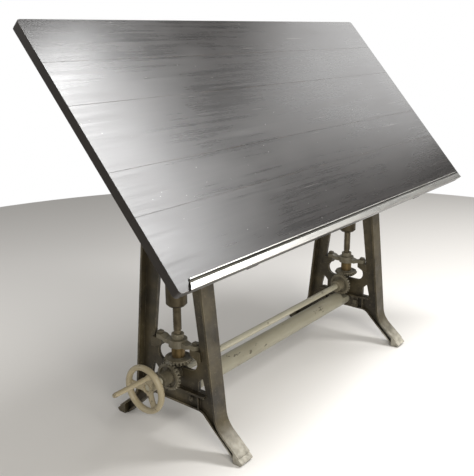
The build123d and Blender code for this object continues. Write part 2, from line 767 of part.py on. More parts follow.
with BuildPart() as tilt_bracket:
    with BuildSketch(slope(ear_in)):
        with BuildLine():
            Polyline(
                (-26, bracket_gap + 1), (26, bracket_gap + 1), (16, -4), (-16, -4), close=True
            )
        make_face()
        Circle(16)
    extrude(amount=ear_t)
    with BuildSketch(slope(ear_in)):
        with Locations((0, bracket_gap + bracket_t / 2)):
            Rectangle(2 * bracket_half, bracket_t)
    extrude(amount=ear_out + ear_t - ear_in)
    with BuildSketch(slope(ear_out)):
        with BuildLine():
            rim = CenterArc((0, 0), quadrant_r + 18, slot_start - 9, slot_sweep + 18)
            Line(rim @ 0, (0, 0))
            Line(rim @ 1, (0, 0))
        make_face()
        with BuildLine():
            Polyline(
                (-bracket_half, bracket_gap + 1), (34, bracket_gap + 1), (20, -4), (-20, -8),
                (-bracket_half - 20, -20), close=True,
            )
        make_face()
        Circle(20)
        # Window between the hub and the slot.
        with BuildLine():
            outer = CenterArc((0, 0), quadrant_r - 18, slot_start + 8, slot_sweep - 16)
            inner = CenterArc((0, 0), 36, slot_start + 17, slot_sweep - 34)
            Line(outer @ 0, inner @ 0)
            Line(outer @ 1, inner @ 1)
        make_face(mode=Mode.SUBTRACT)
        # Clamp slot.
        with BuildLine():
            wide = CenterArc((0, 0), quadrant_r + slot_half, slot_start, slot_sweep)
            tight = CenterArc((0, 0), quadrant_r - slot_half, slot_start, slot_sweep)
            Line(wide @ 0, tight @ 0)
            Line(wide @ 1, tight @ 1)
        make_face(mode=Mode.SUBTRACT)
        for angle in (slot_start, slot_start + slot_sweep):
            with PolarLocations(quadrant_r, 1, start_angle=angle):
                Circle(slot_half, mode=Mode.SUBTRACT)
    extrude(amount=ear_t)
    with BuildSketch(slope(ear_in - 1)):
        Circle(pin_r)
    extrude(amount=ear_out + ear_t - ear_in + 2, mode=Mode.SUBTRACT)
    with BuildSketch(board_face(bracket_gap - 1)):
        with GridLocations(screw_u, screw_x, 2, 2):
            Circle(3.0)
    extrude(amount=bracket_t + 2, mode=Mode.SUBTRACT)
save_pair(tilt_bracket.part, "tilt_bracket", turn=True)

# ================================================================ tilt locks
lock_in = arm_in - 9
lever_x = ear_out + ear_t + end_play
with BuildPart() as lock_bolt:
    with BuildSketch(along_x(lock_in, 0, lock_z)):
        Rectangle(16, 16)
    extrude(amount=9)
    with BuildSketch(along_x(arm_in, 0, lock_z)):
        Circle(lock_bolt_r)
    extrude(amount=lever_x + 26 - arm_in)
save_pair(lock_bolt.part, "lock_bolt", turn=True)

with BuildPart() as lock_lever:
    with BuildSketch(along_x(lever_x, 0, lock_z)):
        Circle(15)
    extrude(amount=20)
    # Arm towards the front, with a ball at its end.
    with BuildSketch(side(lever_x + 6)):
        with BuildLine():
            Polyline(
                (0, lock_z + 7), (-lever_length, lock_z - 25), (-lever_length, lock_z - 35),
                (0, lock_z - 9), close=True,
            )
        make_face()
    extrude(amount=9)
    with BuildSketch(side(lever_x + 10.5)):
        with BuildLine():
            ball = CenterArc((-lever_length, lock_z - 30), 11, 0, 180)
            Line(ball @ 0, ball @ 1)
        make_face()
    revolve(axis=Axis((lever_x + 10.5, -lever_length, lock_z - 30), (0, 1, 0)))
    with BuildSketch(along_x(lever_x - 1, 0, lock_z)):
        Circle(lock_bolt_r + running)
    extrude(amount=22, mode=Mode.SUBTRACT)
save_pair(lock_lever.part, "lock_lever", turn=True)

# ================================================================ board
plate_top = bracket_gap + bracket_t  # tilt axis to the battens
under = plate_top + batten_h  # tilt axis to the board's underside
up_slope = Axis((0, 0, pivot_z), slope().x_dir)
for i, (low, high) in enumerate(zip(plank_edges, plank_edges[1:]), start=1):
    with BuildPart() as plank:
        with BuildSketch(slope(-board_length / 2)):
            with Locations(((low + high) / 2 - board_low, under + board_t / 2)):
                Rectangle(high - low, board_t)
        extrude(amount=board_length)
        corners = plank.edges().filter_by(Axis((0, 0, 0), slope().y_dir)).sort_by(up_slope)
        if i == 1:
            fillet(corners[:2], board_corner_r)
        if i == len(plank_edges) - 1:
            fillet(corners[-2:], board_corner_r)
    save(plank.part, f"plank_{i}")

batten_low = -board_low + batten_end
batten_high = board_high - batten_top_end
with BuildPart() as batten:
    with BuildSketch(slope(-batten_w / 2)):
        with BuildLine():
            Polyline(
                (batten_low + 14, plate_top), (batten_high - 46, plate_top),
                (batten_high, under - 14), (batten_high, under), (batten_low, under),
                (batten_low, plate_top + 18),
            )
            Spline(
                (batten_low, plate_top + 18), (batten_low + 6, plate_top + 10),
                (batten_low + 14, plate_top), tangents=[(0, -1), (1, -0.4)],
            )
        make_face()
    extrude(amount=batten_w)
    with BuildSketch(board_face(plate_top - 1)):
        with GridLocations(screw_u, screw_x, 2, 2):
            Circle(3.0)
    extrude(amount=wood_screw_bite + 1, mode=Mode.SUBTRACT)
save_pair(batten.part, "batten")

with BuildPart() as bracket_screws:
    with BuildSketch(board_face(bracket_gap - 3)):
        with GridLocations(screw_u, screw_x, 2, 2):
            Circle(6)
    extrude(amount=3)
    with BuildSketch(board_face(bracket_gap)):
        with GridLocations(screw_u, screw_x, 2, 2):
            Circle(3.0)
    extrude(amount=bracket_t + wood_screw_bite)
save_both(bracket_screws.part, "bracket_screws")

# Metal strip along the low edge, with a groove in its face.
strip_base = under + board_t
strip_front = -board_low - strip_lip
strip_back = -board_low + strip_w
with BuildPart() as edge_strip:
    with BuildSketch(slope(-board_length / 2 + strip_left)):
        with BuildLine():
            Polyline(
                (strip_front, strip_base - strip_drop), (strip_front, strip_base + strip_t),
                (strip_back - 11, strip_base + strip_t), (strip_back - 11, strip_base + 2),
                (strip_back - 5, strip_base + 2), (strip_back - 5, strip_base + strip_t - 2),
                (strip_back, strip_base + strip_t - 2), (strip_back, strip_base),
                (-board_low, strip_base), (-board_low, strip_base - strip_drop), close=True,
            )
        make_face()
    extrude(amount=board_length - strip_left - strip_right)
save(edge_strip.part, "edge_strip")

with BuildPart() as under_knob:
    with BuildSketch(board_face(under)):
        with Locations((-board_low + knob_in, -knob_x)):
            Circle(knob_r)
    extrude(amount=-knob_drop)
    fillet(under_knob.edges().sort_by(Axis((0, 0, 0), slope().y_dir))[0], 4)
save(under_knob.part, "under_knob")
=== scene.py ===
import json
import math

import bmesh
import bpy
from mathutils import Matrix, Vector


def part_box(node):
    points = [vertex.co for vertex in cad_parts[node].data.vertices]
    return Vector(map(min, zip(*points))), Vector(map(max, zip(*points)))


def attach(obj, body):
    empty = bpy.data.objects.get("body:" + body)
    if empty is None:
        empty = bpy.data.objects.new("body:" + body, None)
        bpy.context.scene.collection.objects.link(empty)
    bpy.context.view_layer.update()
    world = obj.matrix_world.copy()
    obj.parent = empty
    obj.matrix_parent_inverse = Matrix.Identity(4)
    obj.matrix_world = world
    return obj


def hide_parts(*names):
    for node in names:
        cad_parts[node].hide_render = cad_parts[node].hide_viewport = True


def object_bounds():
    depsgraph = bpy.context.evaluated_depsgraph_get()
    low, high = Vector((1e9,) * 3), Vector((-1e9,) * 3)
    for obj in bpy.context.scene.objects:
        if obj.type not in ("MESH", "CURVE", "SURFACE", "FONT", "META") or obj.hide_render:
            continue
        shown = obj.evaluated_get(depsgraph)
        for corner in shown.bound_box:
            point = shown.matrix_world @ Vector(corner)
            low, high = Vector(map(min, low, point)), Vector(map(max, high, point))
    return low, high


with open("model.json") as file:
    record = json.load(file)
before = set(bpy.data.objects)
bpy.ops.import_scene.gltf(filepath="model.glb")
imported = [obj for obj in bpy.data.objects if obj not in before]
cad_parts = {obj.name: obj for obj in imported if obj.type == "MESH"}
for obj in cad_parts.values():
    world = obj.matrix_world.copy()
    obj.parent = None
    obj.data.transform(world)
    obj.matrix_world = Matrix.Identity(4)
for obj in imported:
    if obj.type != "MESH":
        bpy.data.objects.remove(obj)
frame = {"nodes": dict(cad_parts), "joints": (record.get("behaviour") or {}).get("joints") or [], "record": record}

CAD_BOX = [list(v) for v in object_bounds()]
NODES = frame["nodes"]
JOINTS = {j["name"]: j for j in frame["joints"]}
MOUNTS = {m["name"]: m for m in frame["record"]["mounts"]}
BODY_OF = {n: b for b, ns in frame["record"]["behaviour"]["bodies"].items() for n in ns}
SIDES = ("left", "right")
MM = 0.001

# The board's own axes: along the table, up the slope, out of the surface.
PIVOT = Vector(JOINTS["top_tilt"]["pos_m"])
OUT = Vector(MOUNTS["board_face"]["axis"]).normalized()
UP_SLOPE = Vector((0, OUT.z, -OUT.y))
ALONG = Vector((1, 0, 0))


def centre(node):
    lo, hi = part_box(node)
    return (Vector(lo) + Vector(hi)) / 2


def span(node, axis, origin=Vector((0, 0, 0))):
    """Lowest and highest reach of a CAD node along an axis."""
    reach = [(v.co - origin).dot(axis) for v in NODES[node].data.vertices]
    return min(reach), max(reach)


# The shoe's plate is painted with the web it is bolted to, and its neck with the pipe.
SHOE_PLATE_T = 10 * MM
PLATE_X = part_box("stretcher_shoe_right")[1][0] - SHOE_PLATE_T
PAINT_BLUR = 3 * MM
# How far below the strip's crest the painted shade in its channel starts, and where it is fully dark.
CHANNEL_SHADE_TOP = 2.2 * MM
CHANNEL_SHADE_FULL = 2.7 * MM


# ------------------------------------------------------------------ shader helpers
class Finish:
    """A material with the few node patterns that this object needs."""

    def __init__(self, name):
        self.mat = bpy.data.materials.new(name)
        self.mat.use_nodes = True
        self.tree = self.mat.node_tree
        self.bsdf = self.tree.nodes["Principled BSDF"]
        self.coord = self.tree.nodes.new("ShaderNodeTexCoord").outputs["Object"]

    def link(self, value, socket):
        """Joins a socket to the socket given, or sets it to a number or a colour."""
        if isinstance(value, bpy.types.NodeSocket):
            self.tree.links.new(value, socket)
        elif socket.type == "RGBA":
            socket.default_value = (*value, 1.0)
        else:
            socket.default_value = value

    def place(self, stretch=(1, 1, 1), turn=(0, 0, 0)):
        """Object coordinates, turned and then scaled."""
        n = self.tree.nodes.new("ShaderNodeMapping")
        self.link(self.coord, n.inputs["Vector"])
        n.inputs["Scale"].default_value = stretch
        n.inputs["Rotation"].default_value = turn
        return n.outputs[0]

    def noise(self, scale, detail=4.0, rough=0.55, stretch=(1, 1, 1), turn=(0, 0, 0), warp=0.0):
        n = self.tree.nodes.new("ShaderNodeTexNoise")
        self.link(self.place(stretch, turn), n.inputs["Vector"])
        n.inputs["Scale"].default_value = scale
        n.inputs["Detail"].default_value = detail
        n.inputs["Roughness"].default_value = rough
        n.inputs["Distortion"].default_value = warp
        return n.outputs["Fac"]

    def cells(self, scale):
        """Distance from the middle of the nearest cell."""
        n = self.tree.nodes.new("ShaderNodeTexVoronoi")
        self.link(self.place(), n.inputs["Vector"])
        n.inputs["Scale"].default_value = scale
        return n.outputs["Distance"]

    def ramp(self, value, low, high, a=0.0, b=1.0):
        """a below low, b above high, straight between them."""
        n = self.tree.nodes.new("ShaderNodeMapRange")
        self.link(value, n.inputs["Value"])
        n.inputs["From Min"].default_value = low
        n.inputs["From Max"].default_value = high
        n.inputs["To Min"].default_value = a
        n.inputs["To Max"].default_value = b
        return n.outputs["Result"]

    def math(self, how, a, b=0.0):
        """Two values joined by an operation; products, sums and maxima stay between 0 and 1."""
        n = self.tree.nodes.new("ShaderNodeMath")
        n.operation = how
        n.use_clamp = how in ("MULTIPLY", "ADD", "MAXIMUM")
        self.link(a, n.inputs[0])
        self.link(b, n.inputs[1])
        return n.outputs[0]

    def mix(self, share, a, b):
        n = self.tree.nodes.new("ShaderNodeMix")
        n.data_type = "RGBA"
        self.link(share, n.inputs["Factor"])
        self.link(a, n.inputs["A"])
        self.link(b, n.inputs["B"])
        return n.outputs["Result"]

    def axis(self, letter):
        """How far along X, Y or Z a point of the object lies, in metres."""
        n = self.tree.nodes.new("ShaderNodeSeparateXYZ")
        self.link(self.coord, n.inputs[0])
        return n.outputs[letter]

    def end_grain(self):
        """1 on the faces that look along the table, 0 elsewhere."""
        geometry = self.tree.nodes.new("ShaderNodeNewGeometry")
        n = self.tree.nodes.new("ShaderNodeSeparateXYZ")
        self.link(geometry.outputs["Normal"], n.inputs[0])
        return self.ramp(self.math("ABSOLUTE", n.outputs["X"]), 0.75, 0.95)

    def rounded(self, radius):
        """Normals as if every edge had this radius."""
        n = self.tree.nodes.new("ShaderNodeBevel")
        n.samples = 6
        n.inputs["Radius"].default_value = radius
        return n.outputs[0]

    def edges(self, radius, gain=5.0):
        """1 on sharp edges, 0 on flat ground; a higher gain takes in softer edges."""
        geometry = self.tree.nodes.new("ShaderNodeNewGeometry")
        dot = self.tree.nodes.new("ShaderNodeVectorMath")
        dot.operation = "DOT_PRODUCT"
        self.link(self.rounded(radius), dot.inputs[0])
        self.link(geometry.outputs["Normal"], dot.inputs[1])
        return self.ramp(dot.outputs["Value"], 1.0, 1.0 - 1.0 / gain)

    def hollows(self, reach):
        """1 in corners and narrow gaps, 0 on open ground."""
        n = self.tree.nodes.new("ShaderNodeAmbientOcclusion")
        n.samples = 8
        n.inputs["Distance"].default_value = reach
        return self.ramp(n.outputs["AO"], 0.75, 0.25)

    def bump(self, value, depth, strength=1.0, under=None):
        n = self.tree.nodes.new("ShaderNodeBump")
        n.inputs["Strength"].default_value = strength
        n.inputs["Distance"].default_value = depth
        self.link(value, n.inputs["Height"])
        if under is not None:
            self.link(under, n.inputs["Normal"])
        return n.outputs[0]

    def done(self, color, rough, metal=0.0, normal=None, coat=0.0, coat_rough=0.1):
        self.link(color, self.bsdf.inputs["Base Color"])
        self.link(rough, self.bsdf.inputs["Roughness"])
        self.link(metal, self.bsdf.inputs["Metallic"])
        self.bsdf.inputs["Coat Weight"].default_value = coat
        self.bsdf.inputs["Coat Roughness"].default_value = coat_rough
        if normal is not None:
            self.link(normal, self.bsdf.inputs["Normal"])
        return self.mat


def cast_iron(name, deep, mid, worn, floor_wear=False, radius=2.2 * MM, soft=1.3 * MM, grime_and_shade=0.85):
    """Old enamel on a sand casting: painted shade and soiling in the hollows, rubbed pale on the edges."""
    f = Finish(name)
    cloud = f.noise(7.0, 6.0, 0.62)
    speck = f.noise(95.0, 5.0, 0.6)
    pits = f.noise(420.0, 3.0, 0.5)
    color = f.mix(f.ramp(cloud, 0.36, 0.66), deep, mid)
    color = f.mix(f.ramp(speck, 0.58, 0.74, 0.0, 0.30), color, worn)
    rub = f.math("MULTIPLY", f.edges(radius), f.ramp(f.noise(28.0, 5.0), 0.38, 0.60, 0.15, 1.0))
    color = f.mix(rub, color, worn)
    if floor_wear:
        # Shoes have worn the front feet back to pale paint and bare iron.
        low = f.ramp(f.axis("Z"), 0.120, 0.015)
        front = f.ramp(f.axis("Y"), -0.12, -0.17)
        patch = f.ramp(f.noise(30.0, 5.0), 0.34, 0.62, 0.35, 1.0)
        scuffed = f.math("MULTIPLY", f.math("MULTIPLY", low, front), patch)
        color = f.mix(scuffed, color, (0.52, 0.49, 0.41))
    # Painted shade, with some grime: corners and narrow gaps are darkened towards a deeper tone of the iron.
    hollow_shade_and_dirt = tuple(0.35 * c for c in deep)
    color = f.mix(f.math("MULTIPLY", f.hollows(14 * radius), grime_and_shade), color, hollow_shade_and_dirt)
    rough = f.ramp(f.noise(22.0, 4.0), 0.3, 0.7, 0.36, 0.62)
    normal = f.bump(pits, 0.35 * MM, 0.35, f.rounded(soft))
    normal = f.bump(speck, 0.8 * MM, 0.30, normal)
    return f.done(color, rough, 0.0, normal)


def old_paint(name, paint, chip, grime_and_shade):
    """Pale paint, chipped to dark metal, soiled in drifts along the piece."""
    f = Finish(name)
    drift = f.noise(5.0, 6.0, 0.6, stretch=(0.35, 1, 1))
    chips = f.ramp(f.noise(38.0, 7.0, 0.66, stretch=(0.5, 1, 1)), 0.62, 0.66)
    color = f.mix(f.ramp(drift, 0.40, 0.68), paint, grime_and_shade)
    color = f.mix(chips, color, chip)
    color = f.mix(f.ramp(f.edges(1.5 * MM), 0.2, 0.9), color, chip)
    rough = f.ramp(chips, 0.0, 1.0, 0.42, 0.6)
    normal = f.bump(f.math("SUBTRACT", 1.0, chips), 0.25 * MM, 0.5, f.rounded(0.8 * MM))
    normal = f.bump(f.noise(60.0, 3.0), 0.5 * MM, 0.25, normal)
    return f.done(color, rough, 0.0, normal)


def shoe_paint(name, paint, iron):
    """The stretcher's paint on the neck, the frame's enamel on the plate bolted to the web."""
    f = Finish(name)
    out = f.math("ABSOLUTE", f.axis("X"))
    ragged = f.math("ADD", out, f.ramp(f.noise(60.0, 4.0), 0.3, 0.7, -2 * MM, 2 * MM))
    plate = f.ramp(ragged, PLATE_X - PAINT_BLUR, PLATE_X)
    pale = f.mix(f.ramp(f.noise(30.0, 5.0), 0.42, 0.66), paint, tuple(0.6 * c for c in paint))
    dark = f.mix(f.ramp(f.noise(34.0, 5.0), 0.40, 0.66), iron, tuple(2.2 * c for c in iron))
    color = f.mix(plate, pale, dark)
    # Painted shade: corners and narrow gaps round the shoe are darkened towards the iron's colour.
    color = f.mix(f.math("MULTIPLY", f.hollows(22 * MM), 0.8), color, tuple(0.3 * c for c in iron))
    normal = f.bump(f.noise(70.0, 4.0), 0.6 * MM, 0.3, f.rounded(1.2 * MM))
    return f.done(color, f.ramp(plate, 0.0, 1.0, 0.44, 0.55), 0.0, normal)


def turned_metal(name, base, stain, rough_low, rough_high, rings=(60, 60, 900)):
    """Lathe-turned metal with fine tool marks and oil stains."""
    f = Finish(name)
    marks = f.noise(1.0, 3.0, 0.5, stretch=rings)
    color = f.mix(f.ramp(f.noise(16.0, 5.0), 0.38, 0.66), base, stain)
    rough = f.ramp(f.noise(30.0, 4.0), 0.3, 0.7, rough_low, rough_high)
    normal = f.bump(marks, 0.10 * MM, 0.3, f.rounded(0.8 * MM))
    return f.done(color, rough, 0.9, normal)


def ebonised_board():
    """Black-stained planks, rubbed to a cloudy semi-gloss, scratched, browner on the arrises."""
    f = Finish("board_top")
    grain = f.noise(1.0, 7.0, 0.62, stretch=(2.2, 95, 95), warp=0.4)
    fine = f.noise(1.0, 3.0, 0.6, stretch=(9, 620, 620))
    cloud = f.noise(2.6, 5.0, 0.58, stretch=(0.7, 1.4, 1.4))
    color = f.mix(f.ramp(grain, 0.34, 0.70), (0.007, 0.006, 0.0055), (0.018, 0.015, 0.0135))
    color = f.mix(f.ramp(cloud, 0.45, 0.72, 0.0, 0.6), color, (0.024, 0.020, 0.018))
    for turn, stretch in (((0.7, 0.15, 0.1), (3, 260, 260)), ((-0.3, -0.5, 0.6), (4, 330, 330)),
                          ((0.1, 0.9, -0.4), (5, 300, 300))):
        line = f.ramp(f.noise(1.0, 1.0, 0.4, stretch=stretch, turn=turn), 0.775, 0.81)
        patch = f.ramp(f.noise(4.0, 2.0, turn=turn), 0.52, 0.62)
        scratch = f.math("MULTIPLY", f.math("MULTIPLY", line, patch), 0.40)
        color = f.mix(scratch, color, (0.30, 0.28, 0.26))
    # Specks of white paint, thinly scattered.
    dot = f.ramp(f.cells(42.0), 0.055, 0.035)
    where = f.ramp(f.noise(7.0, 2.0), 0.54, 0.60)
    color = f.mix(f.math("MULTIPLY", f.math("MULTIPLY", dot, where), 0.85), color, (0.70, 0.68, 0.64))
    rub = f.math("MULTIPLY", f.edges(2.6 * MM, 4.0), f.ramp(f.noise(20.0, 5.0), 0.42, 0.60))
    color = f.mix(f.math("MULTIPLY", rub, 0.75), color, (0.115, 0.078, 0.052))
    rough = f.math("ADD", f.ramp(cloud, 0.35, 0.70, 0.24, 0.32), f.ramp(grain, 0.3, 0.7, -0.02, 0.05))
    # Sawn ends are duller and browner than the rubbed faces.
    end = f.end_grain()
    color = f.mix(end, color, f.mix(f.noise(60.0, 5.0), (0.008, 0.0055, 0.0035), (0.020, 0.014, 0.009)))
    rough = f.math("MAXIMUM", rough, f.math("MULTIPLY", end, 0.72))
    normal = f.bump(grain, 0.30 * MM, 0.22, f.rounded(0.6 * MM))
    normal = f.bump(fine, 0.10 * MM, 0.22, normal)
    normal = f.bump(f.noise(3.2, 2.0, stretch=(0.6, 1.6, 1.6)), 3.0 * MM, 0.10, normal)
    return f.done(color, rough, 0.0, normal, coat=0.10, coat_rough=0.34)


def stained_wood(name, dark, light, stretch=(60, 4, 4)):
    """Dark wood, paler on its arrises; the grain runs along the axes of low stretch."""
    f = Finish(name)
    grain = f.noise(1.0, 6.0, 0.6, stretch=stretch, warp=0.3)
    color = f.mix(f.ramp(grain, 0.35, 0.68), dark, light)
    rub = f.math("MULTIPLY", f.edges(2.0 * MM, 4.0), f.ramp(f.noise(30.0, 4.0), 0.4, 0.6))
    color = f.mix(rub, color, tuple(min(1.0, 2.2 * c) for c in light))
    normal = f.bump(grain, 0.25 * MM, 0.3, f.rounded(0.8 * MM))
    return f.done(color, f.ramp(grain, 0.3, 0.7, 0.44, 0.60), 0.0, normal)


def bright_strip():
    """Drawn bright metal, with painted shade along the groove that lies below the crest of the lip."""
    f = Finish("strip_metal")
    drawn = f.noise(1.0, 3.0, 0.6, stretch=(5, 900, 900))
    blotch = f.noise(12.0, 5.0, 0.6, stretch=(0.5, 1, 1))
    color = f.mix(f.ramp(blotch, 0.40, 0.70), (0.60, 0.59, 0.56), (0.42, 0.41, 0.38))
    reach = f.tree.nodes.new("ShaderNodeVectorMath")
    reach.operation = "DOT_PRODUCT"
    f.link(f.coord, reach.inputs[0])
    reach.inputs[1].default_value = OUT
    crest = span("edge_strip", OUT)[1]
    # Painted shade: below the crest the metal is darkened to near black down the channel.
    channel_shade = f.ramp(reach.outputs["Value"], crest - CHANNEL_SHADE_TOP, crest - CHANNEL_SHADE_FULL)
    color = f.mix(channel_shade, color, (0.035, 0.032, 0.026))
    rough = f.math("ADD", f.ramp(drawn, 0.3, 0.7, 0.22, 0.36), f.ramp(blotch, 0.4, 0.7, 0.0, 0.12))
    normal = f.bump(drawn, 0.06 * MM, 0.3, f.rounded(0.6 * MM))
    return f.done(color, rough, 1.0, normal)


FINISH = {
    "cast": cast_iron("cast", (0.018, 0.013, 0.006), (0.086, 0.068, 0.034),
                      (0.280, 0.235, 0.150), floor_wear=True),
    "head_iron": cast_iron("head_iron", (0.014, 0.010, 0.006), (0.040, 0.031, 0.018),
                           (0.130, 0.106, 0.070)),
    "bearing_iron": cast_iron("bearing_iron", (0.075, 0.064, 0.040), (0.185, 0.162, 0.110),
                              (0.420, 0.380, 0.285), radius=1.0 * MM, soft=0.5 * MM,
                              grime_and_shade=0.4),
    "bolt_steel": cast_iron("bolt_steel", (0.045, 0.037, 0.023), (0.130, 0.110, 0.072),
                            (0.300, 0.260, 0.185), radius=1.0 * MM, soft=0.8 * MM),
    "pipe": old_paint("pipe", (0.350, 0.330, 0.250), (0.100, 0.084, 0.054), (0.235, 0.214, 0.152)),
    "shoe": shoe_paint("shoe", (0.300, 0.282, 0.210), (0.028, 0.022, 0.012)),
    # Painted light: the same grey-green paint as the pipe, made paler here to make up for the board's shadow on
    # the shaft.
    "shaft_paint": old_paint("shaft_paint", (0.460, 0.435, 0.335), (0.13, 0.110, 0.072),
                             (0.310, 0.285, 0.205)),
    "wheel_paint": old_paint("wheel_paint", (0.370, 0.315, 0.205), (0.13, 0.105, 0.062),
                             (0.240, 0.200, 0.122)),
    "bronze": turned_metal("bronze", (0.16, 0.112, 0.050), (0.070, 0.047, 0.020), 0.38, 0.60),
    "screw_steel": turned_metal("screw_steel", (0.18, 0.150, 0.100), (0.08, 0.065, 0.041), 0.36, 0.56),
    "tube_steel": turned_metal("tube_steel", (0.105, 0.086, 0.055), (0.046, 0.037, 0.022), 0.40, 0.62),
    "board_top": ebonised_board(),
    "batten_wood": stained_wood("batten_wood", (0.010, 0.008, 0.006), (0.035, 0.025, 0.018),
                                stretch=(60, 6, 6)),
    "knob_wood": stained_wood("knob_wood", (0.010, 0.008, 0.007), (0.030, 0.024, 0.020)),
    "strip_metal": bright_strip(),
}

SLOT_OF = {s["node"]: s["material_slot"] for s in frame["record"]["subparts"]}
for name, node in NODES.items():
    node.data.materials.clear()
    node.data.materials.append(FINISH[SLOT_OF[name]])


# ------------------------------------------------------------------ mesh helpers
def piece(name, bm, *nodes, smooth=35.0, bevel=0.0):
    """A finished mesh that stands for CAD nodes, in their material and on their body."""
    bmesh.ops.remove_doubles(bm, verts=bm.verts, dist=1e-6)
    bmesh.ops.recalc_face_normals(bm, faces=bm.faces)
    mesh = bpy.data.meshes.new(name)
    bm.to_mesh(mesh)
    bm.free()
    obj = bpy.data.objects.new(name, mesh)
    bpy.context.scene.collection.objects.link(obj)
    slot = SLOT_OF[nodes[0]]
    mesh.materials.append(FINISH[slot])
    if bevel:
        mod = obj.modifiers.new("arrises", "BEVEL")
        mod.width = bevel
        mod.segments = 2
        mod.limit_method = "ANGLE"
        mod.angle_limit = math.radians(30)
        mod.harden_normals = False
    mesh.shade_smooth()
    mesh.set_sharp_from_angle(angle=math.radians(smooth))
    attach(obj, BODY_OF[nodes[0]])
    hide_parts(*nodes)
    return obj


def frame_of(axis):
    """Two directions square to an axis."""
    axis = Vector(axis).normalized()
    side = Vector((0, 0, 1)) if abs(axis.z) < 0.9 else Vector((1, 0, 0))
    a = (side - axis * side.dot(axis)).normalized()
    return a, axis.cross(a)


def lathe(bm, profile, origin, axis, steps=64):
    """Turns (distance along axis, radius) points; a radius of 0 closes the end."""
    origin, axis = Vector(origin), Vector(axis).normalized()
    a, b = frame_of(axis)
    rings = []
    for along, radius in profile:
        if radius < 1e-7:
            rings.append([bm.verts.new(origin + axis * along)])
            continue
        rings.append([
            bm.verts.new(origin + axis * along + (a * math.cos(t) + b * math.sin(t)) * radius)
            for t in (2 * math.pi * i / steps for i in range(steps))
        ])
    for r0, r1 in zip(rings, rings[1:]):
        for i in range(steps):
            j = (i + 1) % steps
            corners = [r0[i % len(r0)], r0[j % len(r0)], r1[j % len(r1)], r1[i % len(r1)]]
            corners = list(dict.fromkeys(corners))
            if len(corners) > 2:
                bm.faces.new(corners)


def sweep(bm, points, sizes, flat_axis, steps=20, power=2.0):
    """A bar along points, sized by (half width square to flat_axis, half along it).

    A power of 2 gives an oval section, and a higher one squarer corners.
    """
    flat = Vector(flat_axis).normalized()
    rings = []
    for i, p in enumerate(points):
        ahead = points[min(i + 1, len(points) - 1)] - points[max(i - 1, 0)]
        ahead.normalize()
        deep = (flat - ahead * flat.dot(ahead)).normalized()
        wide = ahead.cross(deep)
        w, d = sizes[i]
        ring = []
        for k in range(steps):
            t = 2 * math.pi * k / steps
            c, s = math.cos(t), math.sin(t)
            c = math.copysign(abs(c) ** (2 / power), c)
            s = math.copysign(abs(s) ** (2 / power), s)
            ring.append(bm.verts.new(p + wide * (w * c) + deep * (d * s)))
        rings.append(ring)
    for r0, r1 in zip(rings, rings[1:]):
        for k in range(steps):
            j = (k + 1) % steps
            bm.faces.new((r0[k], r0[j], r1[j], r1[k]))
    bm.faces.new(rings[0][::-1])
    bm.faces.new(rings[-1])


def block(bm, outline, start, end):
    """Prism between two copies of an outline, one moved by start and one by end."""
    low = [bm.verts.new(p + start) for p in outline]
    high = [bm.verts.new(p + end) for p in outline]
    bm.faces.new(low[::-1])
    bm.faces.new(high)
    for i in range(len(outline)):
        j = (i + 1) % len(outline)
        bm.faces.new((low[i], low[j], high[j], high[i]))


# ------------------------------------------------------------------ planks
planks = sorted(n for n in NODES if n.startswith("plank_"))
board_low = span(planks[0], UP_SLOPE, PIVOT)[0]
board_left, board_right = span(planks[0], ALONG)
under, face = span(planks[0], OUT, PIVOT)
CORNER = 12 * MM
CORNER_STEPS = 8
GAP = 0.05 * MM
ARRIS = 0.4 * MM


def board_point(x, u, n):
    """A point at x along the table, u up the slope and n out of the board from the tilt axis."""
    return Vector((x, PIVOT.y, PIVOT.z)) + UP_SLOPE * u + OUT * n


for name in planks:
    low, high = span(name, UP_SLOPE, PIVOT)
    first, last = name == planks[0], name == planks[-1]
    # Only the board's four outer corners are rounded.
    outline = []
    corners = [(board_left, low, first, 180), (board_right, low, first, 270),
               (board_right, high, last, 0), (board_left, high, last, 90)]
    for x, u, outer, start in corners:
        if not outer:
            outline.append((x, u + (GAP if u == low else -GAP)))
            continue
        cx = x + (CORNER if x < 0 else -CORNER)
        cu = u + (CORNER if u == low else -CORNER)
        for k in range(CORNER_STEPS + 1):
            t = math.radians(start + 90 * k / CORNER_STEPS)
            outline.append((cx + CORNER * math.cos(t), cu + CORNER * math.sin(t)))
    bm = bmesh.new()
    block(bm, [board_point(x, u, 0) for x, u in outline], OUT * under, OUT * face)
    piece(name + "_wood", bm, name, bevel=ARRIS)

# ------------------------------------------------------------------ edge strip
# Mitred at its left end and rounded at its right: a flat lip, a channel, and a thin bead.
strip_low, strip_high = span("edge_strip", UP_SLOPE, PIVOT)
strip_under, strip_face = span("edge_strip", OUT, PIVOT)
strip_left, strip_right = span("edge_strip", ALONG)
LIP = 18 * MM
MITRE = 18 * MM
TURN = 20 * MM
TURN_STEPS = 6
section = [
    (strip_low, strip_under), (strip_low, strip_face - 1.2 * MM),
    (strip_low + 1.2 * MM, strip_face), (strip_low + LIP, strip_face),
    (strip_low + LIP + 1 * MM, strip_face - 3.0 * MM), (strip_high - 6 * MM, face + 1.6 * MM),
    (strip_high - 4.6 * MM, face + 1.2 * MM), (strip_high - 4 * MM, strip_face - 2.6 * MM),
    (strip_high - 3.4 * MM, strip_face - 2 * MM), (strip_high - 0.8 * MM, strip_face - 2 * MM),
    (strip_high, strip_face - 3 * MM), (strip_high, face), (board_low, face),
    (board_low, strip_under),
]
bm = bmesh.new()
width = strip_high - strip_low
turn_x = strip_right - TURN
stations = [strip_left, strip_left + 0.3, 0.0, strip_right - 0.3, turn_x]
stations += [turn_x + TURN * k / TURN_STEPS for k in range(1, TURN_STEPS + 1)]
rings = []
